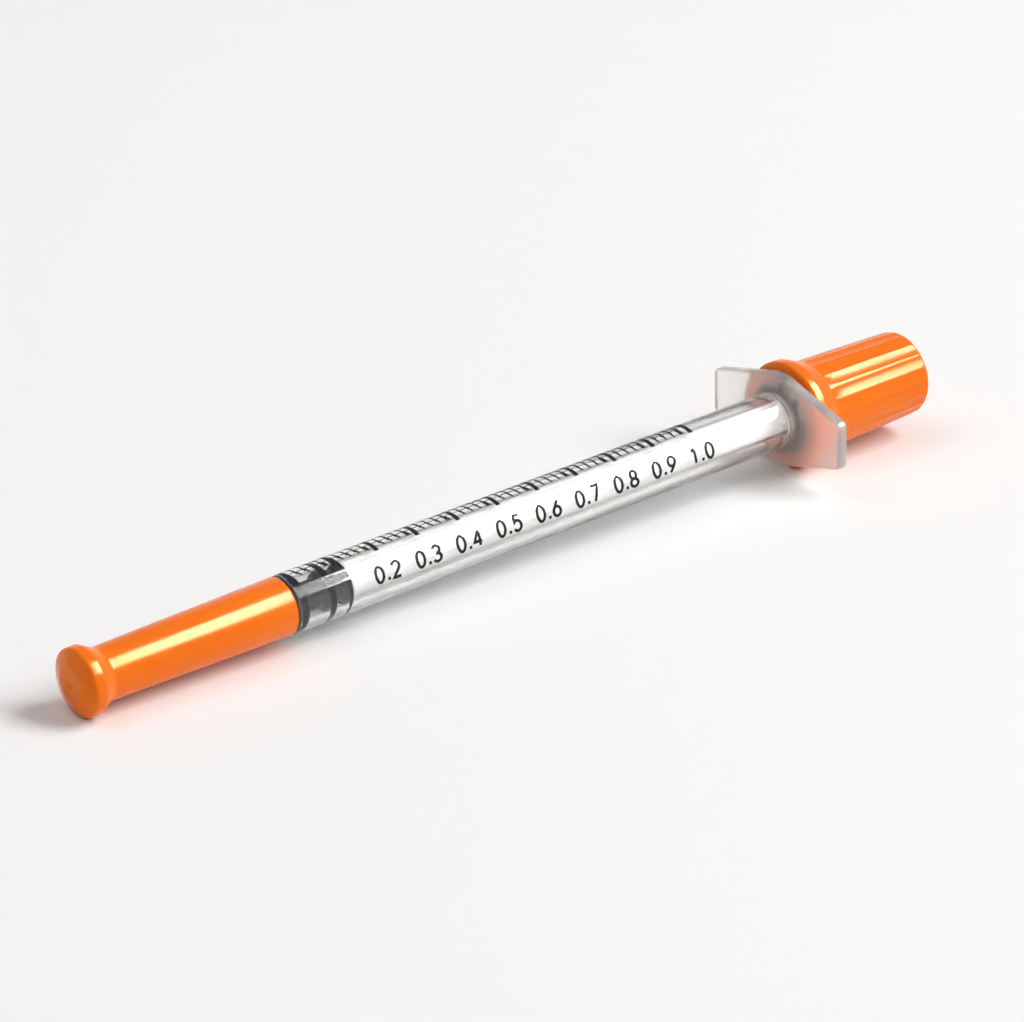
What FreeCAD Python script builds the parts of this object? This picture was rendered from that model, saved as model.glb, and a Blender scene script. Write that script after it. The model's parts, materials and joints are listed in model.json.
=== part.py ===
import FreeCAD, Part

# A 1 ml insulin syringe for 100-unit insulin, with its needle fixed in the barrel, lying at rest
# with both caps on. Everything is built about one axis first: x runs from the needle cap towards
# the thumb, x = 0 is the barrel's front shoulder and y is the radius. The finished pieces are then
# laid down on the rims of both caps, with the finger flange level. Lengths are in millimetres.

import math
import os

from FreeCAD import Placement, Rotation, Vector

AXIS = Vector(1, 0, 0)

# Chamber: the bore follows from the volume that the scale's length holds.
capacity = 1000.0
scale_length = 58.0
bore_radius = math.sqrt(capacity / (math.pi * scale_length))

# Barrel tube and front wall.
barrel_wall = 1.1
tube_length = 73.2
front_wall = 0.8
shoulder_bevel = 0.25

# Finger flange.
flange_thickness = 1.5
flange_length = 22.0
flange_waist_radius = 5.8
flange_end_width = 5.8
flange_corner_round = 0.9
flange_edge_round = 0.4
flange_root_round = 0.9

# Collar behind the flange, which holds the plunger cap.
collar_length = 4.5
collar_wall = 1.2
collar_over_thumb = 0.44
collar_rib_width = 0.8
collar_rib_count = 8
bore_lead_in = 0.5

# Bead inside the bore that stops the stopper at the end of its travel.
bead_height = 0.12
bead_width = 0.8

# Spigot in front of the shoulder, which holds the needle cap.
spigot_length = 5.0
spigot_rib_height = 0.35
spigot_rib_width = 0.7
spigot_rib_count = 6

# Tapered nose with a well for the adhesive.
nose_length = 4.0
nose_root_radius = 1.7
nose_tip_wall = 0.4
well_depth = 1.6
well_gap = 0.38

# Needle.
needle_radius = 0.165
needle_wall = 0.07
needle_exposed = 12.7
bevel_angle = 12.0
lancet_angle = 17.0
lancet_roll = 38.0
adhesive_dome = 0.45
bond_line = 0.01

# Stopper.
stopper_length = 7.2
stopper_clearance = 0.03
stopper_front_gap = 0.05
stopper_rib_width = 1.1
stopper_waist_depth = 0.6
stopper_rear_rib_width = 0.8
stopper_rear_waist = 1.5
stopper_edge_bevel = 0.12

# Plunger rod.
rod_clearance = 0.2
rod_rib_thickness = 0.9
rod_disc_thickness = 0.8
head_neck_length = 0.8
head_length = 2.4
head_barb = 0.45
head_cover = 0.46
snap_clearance = 0.03
thumb_standoff = 11.5
thumb_radius = 4.1
thumb_thickness = 1.3
thumb_edge_round = 0.35
gusset_length = 5.0
gusset_spread = 1.2
grip_ring_count = 3
grip_ring_depth = 0.2

# Fit of both caps on the barrel.
cap_seat_gap = 0.1
cap_grip_clearance = 0.05

# Needle cap.
cap_mouth_wall = 0.65
cap_tip_clearance = 2.5
cap_nose_clearance = 0.5
cap_end_thickness = 4.0
cap_neck_wall = 0.9
cap_knob_overhang = 0.9
cap_knob_width = 1.3
cap_knob_dome = 0.8
cap_knob_flare = 1.6
cap_neck_round = 2.0

# Plunger cap.
sleeve_wall = 1.05
sleeve_end_side_wall = 0.85
sleeve_end_wall = 1.2
sleeve_end_round = 0.8
sleeve_end_clearance = 0.6
sleeve_thumb_clearance = 0.2
sleeve_dimple_radius = 2.0
sleeve_dimple_depth = 0.6
lip_height = 0.95
lip_width = 1.3
lip_flare = 2.4
flute_count = 20
flute_radius = 2.2
flute_depth = 0.12

# Rounding of the two rims that the syringe lies on, and of thin moulded edges.
rim_round = 0.4
edge_break = 0.2


# Places along the axis that several pieces share.
barrel_radius = bore_radius + barrel_wall
flange_front = tube_length
flange_back = flange_front + flange_thickness
barrel_end = flange_back + collar_length
collar_radius = bore_radius + collar_wall
collar_rib_radius = thumb_radius + collar_over_thumb
cap_grip_radius = barrel_radius - cap_mouth_wall
spigot_rib_radius = cap_grip_radius - cap_grip_clearance
spigot_radius = spigot_rib_radius - spigot_rib_height
nose_root = -spigot_length
nose_tip = nose_root - nose_length
needle_tip = nose_tip - needle_exposed
needle_seat_radius = needle_radius + bond_line
well_radius = needle_radius + well_gap
nose_tip_radius = well_radius + nose_tip_wall
stopper_front = front_wall + stopper_front_gap
stopper_back = stopper_front + stopper_length
stopper_rib_radius = bore_radius - stopper_clearance
stopper_waist_radius = stopper_rib_radius - stopper_waist_depth
head_radius = stopper_waist_radius - head_cover
head_neck_radius = head_radius - head_barb
rod_half_width = bore_radius - rod_clearance
thumb_front = barrel_end + thumb_standoff
thumb_back = thumb_front + thumb_thickness
cap_mouth = -cap_seat_gap
cap_cavity_end = needle_tip - cap_tip_clearance
cap_face = cap_cavity_end - cap_end_thickness
cap_cavity_radius = nose_root_radius + cap_nose_clearance
cap_neck_radius = cap_cavity_radius + cap_neck_wall
cap_knob_radius = cap_neck_radius + cap_knob_overhang
sleeve_mouth = flange_back + cap_seat_gap
sleeve_grip_radius = collar_rib_radius + cap_grip_clearance
sleeve_mouth_radius = sleeve_grip_radius + sleeve_wall
sleeve_floor = thumb_back + sleeve_end_clearance
sleeve_end = sleeve_floor + sleeve_end_wall
sleeve_floor_radius = thumb_radius + sleeve_thumb_clearance
sleeve_end_radius = sleeve_floor_radius + sleeve_end_side_wall
lip_radius = sleeve_mouth_radius + lip_height


def outline(corners):
    """Closed wire through (x, y, ease) corners: ease is an arc's radius, or minus a bevel's reach."""
    points = [Vector(x, y, 0) for x, y, ease in corners]
    turns = []
    for index, here in enumerate(points):
        back = (points[index - 1] - here).normalize()
        ahead = (points[(index + 1) % len(points)] - here).normalize()
        ease = corners[index][2]
        half_angle = back.getAngle(ahead) / 2
        reach = ease / math.tan(half_angle) if ease > 0 else -ease
        depth = ease / math.sin(half_angle) - ease
        middle = here + (back + ahead).normalize() * depth if ease > 0 else None
        turns.append((here + back * reach, middle, here + ahead * reach))
    edges = []
    for index, (start, middle, end) in enumerate(turns):
        if middle is not None:
            edges.append(Part.Arc(start, middle, end).toShape())
        elif start.distanceToPoint(end) > 0:
            edges.append(Part.LineSegment(start, end).toShape())
        following = turns[(index + 1) % len(turns)][0]
        edges.append(Part.LineSegment(end, following).toShape())
    return Part.Wire(edges)


def turned(corners):
    """Solid turned about the axis from a closed half profile."""
    return Part.Face(outline(corners)).revolve(Vector(0, 0, 0), AXIS, 360)


def around(shape, count):
    """Copies of a shape spaced evenly about the axis."""
    copies = []
    for index in range(count):
        copy = shape.copy()
        copy.rotate(Vector(0, 0, 0), AXIS, index * 360.0 / count)
        copies.append(copy)
    return copies


def rib(start, end, inner, outer, width, nose):
    """Straight rib along the axis, its first end sloped back over the length nose."""
    profile = outline([
        (start, inner, 0),
        (start + nose, outer, 0),
        (end, outer, 0),
        (end, inner, 0),
    ])
    plate = Part.Face(profile).extrude(Vector(0, 0, width))
    plate.translate(Vector(0, 0, -width / 2))
    return plate


def joined(shapes):
    """One solid from several that touch or overlap."""
    return shapes[0].multiFuse(shapes[1:]).removeSplitter()


def make_flange():
    """Finger flange: a round middle with straight tangents to two narrower ends."""
    half_length = flange_length / 2
    half_end = flange_end_width / 2
    corner_angle = math.atan2(half_end, half_length)
    side_normal = corner_angle + math.acos(flange_waist_radius / math.hypot(half_length, half_end))
    tangent_y = flange_waist_radius * math.cos(side_normal)
    tangent_z = flange_waist_radius * math.sin(side_normal)
    right = [
        (tangent_y, -tangent_z, 0),
        (half_length, -half_end, flange_corner_round),
        (half_length, half_end, flange_corner_round),
        (tangent_y, tangent_z, 0),
    ]
    left = [(-y, -z, radius) for y, z, radius in right]
    wings = Part.Face(outline(right + left)).extrude(Vector(0, 0, flange_thickness))
    plate = wings.fuse(Part.makeCylinder(flange_waist_radius, flange_thickness)).removeSplitter()
    rims = [edge for edge in plate.Edges if edge.BoundBox.ZLength < flange_thickness / 2]
    plate = plate.makeFillet(flange_edge_round, rims)
    plate.Placement = Placement(Vector(flange_front, 0, 0), Rotation(Vector(1, 1, 1), 120))
    opening = Part.makeCylinder(bore_radius + barrel_wall / 2, flange_thickness,
                                Vector(flange_front, 0, 0), AXIS)
    return plate.cut(opening)


def make_barrel():
    """Barrel: tube, front wall, spigot, nose, flange and rear collar in one moulding."""
    bead_front = flange_front
    bead_back = bead_front + bead_width
    bead_radius = bore_radius - bead_height
    body = turned([
        (nose_tip, needle_seat_radius, 0),
        (nose_tip, nose_tip_radius, -edge_break),
        (nose_root, nose_root_radius, -edge_break),
        (nose_root, spigot_radius, -edge_break),
        (0, spigot_radius, 0),
        (0, barrel_radius, -shoulder_bevel),
        (flange_front, barrel_radius, flange_root_round),
        (flange_front, flange_waist_radius - flange_edge_round, 0),
        (flange_back, flange_waist_radius - flange_edge_round, 0),
        (flange_back, collar_radius, 0),
        (barrel_end, collar_radius, -edge_break),
        (barrel_end, bore_radius + bore_lead_in, 0),
        (barrel_end - bore_lead_in, bore_radius, 0),
        (bead_back, bore_radius, 0),
        (bead_back - bead_width / 3, bead_radius, 0),
        (bead_front + bead_width / 3, bead_radius, 0),
        (bead_front, bore_radius, 0),
        (front_wall, bore_radius, -edge_break),
        (front_wall, needle_seat_radius, 0),
    ])
    spigot_rib = rib(nose_root + edge_break, 0, nose_root_radius, spigot_rib_radius,
                     spigot_rib_width, spigot_rib_height)
    collar_rib = rib(-barrel_end + edge_break, -flange_back, bore_radius + collar_wall / 2,
                     collar_rib_radius, collar_rib_width, collar_rib_radius - collar_radius)
    collar_rib.rotate(Vector(0, 0, 0), Vector(0, 1, 0), 180)
    well = turned([
        (nose_tip, 0, 0),
        (nose_tip, well_radius, 0),
        (nose_tip + well_depth, needle_seat_radius, 0),
        (nose_tip + well_depth, 0, 0),
    ])
    pieces = [body, make_flange()]
    pieces += around(spigot_rib, spigot_rib_count)
    pieces += around(collar_rib, collar_rib_count)
    return joined(pieces).cut(well)


def make_needle():
    """Steel tube with a ground bevel and two lancet grinds that meet in its point."""
    length = front_wall - needle_tip
    tube = Part.makeCylinder(needle_radius, length, Vector(needle_tip, 0, 0), AXIS)
    bore = Part.makeCylinder(needle_radius - needle_wall, length, Vector(needle_tip, 0, 0), AXIS)
    needle = tube.cut(bore)
    for roll, angle in ((0.0, bevel_angle), (-lancet_roll, lancet_angle), (lancet_roll, lancet_angle)):
        rise = needle_radius * (1 - math.cos(math.radians(roll)))
        start = needle_tip - rise / math.tan(math.radians(angle))
        ground = Part.makeBox(length, length, length, Vector(0, -length / 2, 0))
        ground.rotate(Vector(0, 0, 0), Vector(0, 1, 0), -angle)
        ground.translate(Vector(start, 0, -needle_radius))
        ground.rotate(Vector(0, 0, 0), AXIS, roll)
        needle = needle.cut(ground)
    return needle


def make_adhesive():
    """Bead that fills the nose's well and rises a little up the needle."""
    inner = needle_seat_radius
    taper = (well_radius - inner) / well_depth
    return turned([
        (nose_tip - adhesive_dome, inner, 0),
        (nose_tip - adhesive_dome, inner + edge_break / 2, 0),
        (nose_tip, well_radius - bond_line, -edge_break / 2),
        (nose_tip + well_depth - bond_line * 4, inner + taper * bond_line * 2, 0),
        (nose_tip + well_depth - bond_line * 4, inner, 0),
    ])


def make_stopper():
    """Rubber stopper with three sealing ribs and a socket for the rod's head."""
    rear_rib = stopper_back - stopper_rear_rib_width
    ribs = [
        (stopper_front, stopper_front + stopper_rib_width),
        (rear_rib - stopper_rear_waist - stopper_rib_width, rear_rib - stopper_rear_waist),
        (rear_rib, stopper_back),
    ]
    edge = stopper_edge_bevel
    corners = [(stopper_front, 0, 0)]
    for number, (front, back) in enumerate(ribs):
        if number > 0:
            corners.append((front - edge, stopper_waist_radius, 0))
        corners.append((front, stopper_rib_radius, -edge))
        corners.append((back, stopper_rib_radius, -edge))
        if number < len(ribs) - 1:
            corners.append((back + edge, stopper_waist_radius, 0))
    corners.append((stopper_back, 0, 0))
    return turned(corners).cut(make_head(snap_clearance))


def make_head(growth):
    """Barbed head and neck at the rod's front, grown all round by a clearance."""
    neck_front = stopper_back - head_neck_length
    head_front = neck_front - head_length
    neck = head_neck_radius + growth
    crown = head_radius + growth
    return turned([
        (head_front - growth, 0, 0),
        (head_front - growth, crown / 2, 0),
        (neck_front - head_length / 3, crown, 0),
        (neck_front + growth, crown, 0),
        (neck_front + growth, neck, 0),
        (stopper_back, neck, 0),
        (stopper_back, 0, 0),
    ])


def make_plunger_rod():
    """Plunger rod: barbed head, front disc, four ribs and thumb disc."""
    disc_back = stopper_back + rod_disc_thickness
    disc = turned([
        (stopper_back, 0, 0),
        (stopper_back, rod_half_width, -edge_break),
        (disc_back, rod_half_width, -edge_break),
        (disc_back, 0, 0),
    ])
    blade = Part.makeBox(thumb_front - disc_back + edge_break, 2 * rod_half_width, rod_rib_thickness,
                         Vector(disc_back - edge_break, -rod_half_width, -rod_rib_thickness / 2))
    rounding = Part.makeCylinder(rod_half_width, thumb_front - stopper_back,
                                 Vector(stopper_back, 0, 0), AXIS)
    blade = blade.common(rounding)
    gusset = rib(thumb_front - gusset_length, thumb_front + edge_break, 0,
                 rod_half_width + gusset_spread, rod_rib_thickness, gusset_length)
    thumb = [
        (thumb_front, 0, 0),
        (thumb_front, thumb_radius, thumb_edge_round),
        (thumb_back, thumb_radius, thumb_edge_round),
    ]
    for number in range(grip_ring_count, 0, -1):
        ring_radius = thumb_radius * number / (grip_ring_count + 1)
        thumb.append((thumb_back, ring_radius + grip_ring_depth, 0))
        thumb.append((thumb_back - grip_ring_depth, ring_radius, 0))
        thumb.append((thumb_back, ring_radius - grip_ring_depth, 0))
    thumb.append((thumb_back, 0, 0))
    crossed = [blade, around(blade, 4)[1]]
    return joined([make_head(0.0), disc, turned(thumb)] + crossed + around(gusset, 4))


def make_needle_cap():
    """Needle cap: a tapered sleeve, closed by a domed knob that the fingers pull."""
    knob_back = cap_face + cap_knob_dome + cap_knob_width
    neck_end = knob_back + cap_knob_flare
    grip_end = nose_root - edge_break
    return turned([
        (cap_face, 0, 0),
        (cap_face, cap_knob_radius / 2, cap_knob_radius / 2),
        (cap_face + cap_knob_dome, cap_knob_radius, rim_round),
        (knob_back, cap_knob_radius, rim_round),
        (neck_end, cap_neck_radius, cap_neck_round),
        (cap_mouth, barrel_radius, -edge_break),
        (cap_mouth, cap_grip_radius, -edge_break),
        (grip_end, cap_grip_radius, 0),
        (grip_end - edge_break, cap_grip_radius - edge_break, 0),
        (cap_cavity_end, cap_cavity_radius, -cap_cavity_radius / 2),
        (cap_cavity_end, 0, 0),
    ])


def make_plunger_cap():
    """Plunger cap: a fluted sleeve with a flared lip at its mouth and a dimpled end."""
    flare_end = sleeve_mouth + lip_width + lip_flare
    grip_end = barrel_end + edge_break
    sleeve = turned([
        (sleeve_mouth, sleeve_grip_radius, -edge_break),
        (sleeve_mouth, lip_radius, rim_round),
        (sleeve_mouth + lip_width, lip_radius, rim_round),
        (flare_end, sleeve_mouth_radius, lip_flare),
        (sleeve_end, sleeve_end_radius, sleeve_end_round),
        (sleeve_end, sleeve_dimple_radius, -edge_break),
        (sleeve_end - sleeve_dimple_depth, sleeve_dimple_radius, -edge_break),
        (sleeve_end - sleeve_dimple_depth, 0, 0),
        (sleeve_floor, 0, 0),
        (sleeve_floor, sleeve_floor_radius, -edge_break),
        (grip_end, sleeve_grip_radius, 0),
    ])
    slope = math.atan2(sleeve_mouth_radius - sleeve_end_radius, sleeve_end - flare_end)
    start = Vector(flare_end, sleeve_mouth_radius + flute_radius - flute_depth, 0)
    course = Vector(math.cos(slope), -math.sin(slope), 0)
    flute = Part.makeCylinder(flute_radius, sleeve_end - sleeve_mouth, start, course)
    return sleeve.cut(Part.makeCompound(around(flute, flute_count)))


def laid_down(shapes):
    """Lay the pieces on the knob's rim and the lip, centred over the origin."""
    knob_rim = cap_face + cap_knob_dome + rim_round
    lip_rim = sleeve_mouth + rim_round
    tilt = math.atan2(lip_radius - cap_knob_radius, lip_rim - knob_rim)
    for shape in shapes.values():
        shape.rotate(Vector(0, 0, 0), Vector(0, 1, 0), -math.degrees(tilt))
    box = Part.makeCompound(list(shapes.values())).optimalBoundingBox()
    shoulder = Vector(-(box.XMin + box.XMax) / 2, 0, -box.ZMin)
    for shape in shapes.values():
        shape.translate(shoulder)
    return tilt, shoulder


pieces = {
    "barrel": make_barrel(),
    "needle": make_needle(),
    "needle_adhesive": make_adhesive(),
    "stopper": make_stopper(),
    "plunger_rod": make_plunger_rod(),
    "needle_cap": make_needle_cap(),
    "plunger_cap": make_plunger_cap(),
}
tilt, shoulder = laid_down(pieces)
os.makedirs("parts", exist_ok=True)
for name, shape in pieces.items():
    shape.exportStep("parts/" + name + ".step")
    print(name, shape.isValid(), len(shape.Solids), round(shape.Volume, 3))
print("tilt", math.degrees(tilt), "shoulder at", shoulder)
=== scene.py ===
"""An insulin syringe at rest with both caps on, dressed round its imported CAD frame.

Lengths in the classes are millimetres in the syringe's own axes: x runs from the needle cap
towards the thumb with 0 at the barrel's front shoulder, y along the finger flange and z across it.
Placement turns them into metres in the row frame.
"""

import json
import logging
import math
from dataclasses import dataclass, field
from enum import Enum
from typing import Sequence

import bpy
import numpy as np
from mathutils import Matrix, Vector


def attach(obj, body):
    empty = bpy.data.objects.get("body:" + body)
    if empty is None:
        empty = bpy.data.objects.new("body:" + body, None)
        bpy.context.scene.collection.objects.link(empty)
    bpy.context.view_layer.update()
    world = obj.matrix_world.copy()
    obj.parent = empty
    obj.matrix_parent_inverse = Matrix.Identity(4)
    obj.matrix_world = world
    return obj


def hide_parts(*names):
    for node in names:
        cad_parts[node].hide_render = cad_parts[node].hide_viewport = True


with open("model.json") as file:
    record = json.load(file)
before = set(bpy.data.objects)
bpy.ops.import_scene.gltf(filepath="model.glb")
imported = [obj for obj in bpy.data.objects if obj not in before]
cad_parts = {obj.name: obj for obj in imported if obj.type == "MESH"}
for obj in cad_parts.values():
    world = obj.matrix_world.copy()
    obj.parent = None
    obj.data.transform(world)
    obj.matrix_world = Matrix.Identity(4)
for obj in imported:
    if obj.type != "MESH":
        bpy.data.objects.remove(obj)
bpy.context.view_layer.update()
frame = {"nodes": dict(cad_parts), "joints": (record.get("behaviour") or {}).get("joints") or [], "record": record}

LOG = logging.getLogger("syringe")
MM = 0.001
FULL_TURN = 2.0 * math.pi
SHARP_ANGLE = math.radians(38.0)

# Where the record's barrel_clip mount stands, in millimetres from the barrel's front shoulder
CLIP_STATION = 36.6

# Shares of a figure's height: from one digit to the next, the gap that this holds, and a point's part
DIGIT_PITCH = 0.80
DIGIT_GAP = 0.20
POINT_PITCH = 0.36

# Longest straight run of a printed stroke in millimetres, and the least cosine that a mitre divides by
LONGEST_RUN = 0.5
SHARPEST_MITRE = 0.6

Corner = tuple[float, float, float]


# Placing and meshing


@dataclass(frozen=True)
class Placement:
    """Where the syringe lies: a point on its axis and three directions at right angles."""

    shoulder: np.ndarray
    along: np.ndarray
    side: np.ndarray
    top: np.ndarray

    @classmethod
    def from_record(cls, record: dict, axis: Sequence[float]) -> "Placement":
        """Read the axis and the side from the record's joints and mounts.

        Args:
            record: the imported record, with its mounts.
            axis: the plunger's sliding direction.

        Returns:
            The placement whose origin is the barrel's front shoulder.
        """
        mounts = {m["name"]: np.array(m["pos_m"]) for m in record["mounts"]}
        along = np.array(axis) / np.linalg.norm(axis)
        shoulder = mounts["barrel_clip"] - along * CLIP_STATION * MM
        reach = mounts["flange_front"] - shoulder
        side = reach - along * reach.dot(along)
        side = side / np.linalg.norm(side)
        return cls(shoulder, along, side, np.cross(along, side))

    def metres(self, local: np.ndarray) -> np.ndarray:
        """Turn local millimetres into row-frame metres.

        Each point is the shoulder plus its three coordinates along the three directions.

        Args:
            local: points (..., 3) in the syringe's own axes.

        Returns:
            Points (..., 3) in the row frame.
        """
        turned = (local[..., 0:1] * self.along + local[..., 1:2] * self.side
                  + local[..., 2:3] * self.top)
        return self.shoulder + turned * MM


def eased_path(corners: Sequence[Corner], closed: bool = False, step: float = 0.16) -> np.ndarray:
    """Path through corners, each rounded by an arc.

    A corner with half angle h and radius r begins its arc r / tan h before the corner and has its
    centre r / sin h along the bisector. The arc is swept evenly about that centre.

    Args:
        corners: (x, y, radius) in order.
        closed: whether the last corner leads back to the first.
        step: longest chord of an arc, in millimetres.

    Returns:
        Points as an array (n, 2).
    """
    spots = np.array([corner[:2] for corner in corners])
    last = len(corners) - 1
    pieces = []
    for index, (here, corner) in enumerate(zip(spots, corners)):
        radius = corner[2]
        if radius == 0.0 or (not closed and index in (0, last)):
            pieces.append(here[None, :])
            continue
        back = spots[index - 1] - here
        ahead = spots[(index + 1) % len(spots)] - here
        back, ahead = back / np.linalg.norm(back), ahead / np.linalg.norm(ahead)
        half = math.acos(float(np.clip(back.dot(ahead), -1.0, 1.0))) / 2.0
        middle = back + ahead
        centre = here + middle / np.linalg.norm(middle) * radius / math.sin(half)
        first = here + back * radius / math.tan(half) - centre
        end = here + ahead * radius / math.tan(half) - centre
        sweep = math.pi - 2.0 * half
        turn = math.copysign(sweep, first[0] * end[1] - first[1] * end[0])
        count = max(3, math.ceil(radius * sweep / step) + 1)
        angles = np.linspace(0.0, turn, count)
        cosine, sine = np.cos(angles), np.sin(angles)
        pieces.append(centre + np.stack([first[0] * cosine - first[1] * sine,
                                         first[0] * sine + first[1] * cosine], axis=1))
    return np.concatenate(pieces)


def wheel(angles: np.ndarray, stations: np.ndarray, radii: np.ndarray) -> np.ndarray:
    """Rings about the axis: point (x, r cos a, r sin a) for each station and angle.

    Args:
        angles: column angles (m,).
        stations: x of each ring (n,).
        radii: radius of each ring (n,) or of each point (n, m).

    Returns:
        Points (n, m, 3).
    """
    spread = radii[:, None] if radii.ndim == 1 else radii
    spread = np.broadcast_to(spread, (len(stations), len(angles)))
    across = np.broadcast_to(stations[:, None], spread.shape)
    return np.stack([across, spread * np.cos(angles), spread * np.sin(angles)], axis=2)


class Ends(Enum):
    """How the rows of a skin finish."""

    JOINED = "the last ring meets the first"
    CLOSED = "a point closes the first ring and the last"


@dataclass
class Skin:
    """A closed surface of rings that grows into one mesh object."""

    placement: Placement
    rings: np.ndarray
    ends: Ends

    def faces(self) -> tuple[np.ndarray, np.ndarray]:
        """Four-sided faces between neighbouring rings and the fans at closed ends.

        Rows that run towards the thumb on the outside, and back on the inside, face outwards.

        Returns:
            Quads (q, 4) and triangles (t, 3) of point numbers.
        """
        rows, columns = self.rings.shape[:2]
        number = np.arange(rows * columns).reshape(rows, columns)
        first = number if self.ends is Ends.JOINED else number[:-1]
        second = np.roll(number, -1, axis=0) if self.ends is Ends.JOINED else number[1:]
        quads = np.stack([first, np.roll(first, -1, 1), np.roll(second, -1, 1), second], axis=-1)
        fans = np.zeros((0, 3), int)
        if self.ends is Ends.CLOSED:
            start, stop = rows * columns, rows * columns + 1
            head, tail = number[0], number[-1]
            fans = np.concatenate([
                np.stack([np.full(columns, start), np.roll(head, -1), head], axis=1),
                np.stack([np.full(columns, stop), tail, np.roll(tail, -1)], axis=1),
            ])
        return quads.reshape(-1, 4), fans

    def points(self) -> np.ndarray:
        """All points, with the two poles last where the ends are closed.

        A pole is the mean of its ring.

        Returns:
            Points (n, 3) in row-frame metres.
        """
        spots = self.rings.reshape(-1, 3)
        if self.ends is Ends.CLOSED:
            spots = np.concatenate([spots, self.rings[:1].mean(axis=1), self.rings[-1:].mean(axis=1)])
        return self.placement.metres(spots)

    def build(self, name: str) -> bpy.types.Object:
        """Make the mesh object, smooth but for its sharp edges."""
        quads, fans = self.faces()
        return mesh_object(name, self.points(), quads, fans)


def mesh_object(name: str, points: np.ndarray, quads: np.ndarray, fans: np.ndarray) -> bpy.types.Object:
    """Put whole arrays of points and faces into a mesh.

    Args:
        name: the object's name.
        points: positions in metres (n, 3).
        quads: four-sided faces (q, 4).
        fans: three-sided faces (t, 3).

    Returns:
        The linked object, smooth shaded, with edges sharper than SHARP_ANGLE marked.
    """
    mesh = bpy.data.meshes.new(name)
    corners = np.concatenate([quads.ravel(), fans.ravel()]).astype(np.int32)
    sizes = np.concatenate([np.full(len(quads), 4), np.full(len(fans), 3)])
    starts = np.concatenate([[0], np.cumsum(sizes)[:-1]]).astype(np.int32)
    mesh.vertices.add(len(points))
    mesh.vertices.foreach_set("co", points.astype(np.float32).ravel())
    mesh.loops.add(len(corners))
    mesh.loops.foreach_set("vertex_index", corners)
    mesh.polygons.add(len(sizes))
    mesh.polygons.foreach_set("loop_start", starts)
    mesh.update(calc_edges=True)
    mesh.validate()
    mesh.polygons.foreach_set("use_smooth", np.ones(len(mesh.polygons), bool))
    mesh.set_sharp_from_angle(angle=SHARP_ANGLE)
    thing = bpy.data.objects.new(name, mesh)
    bpy.context.scene.collection.objects.link(thing)
    return thing


# Finishes


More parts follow.
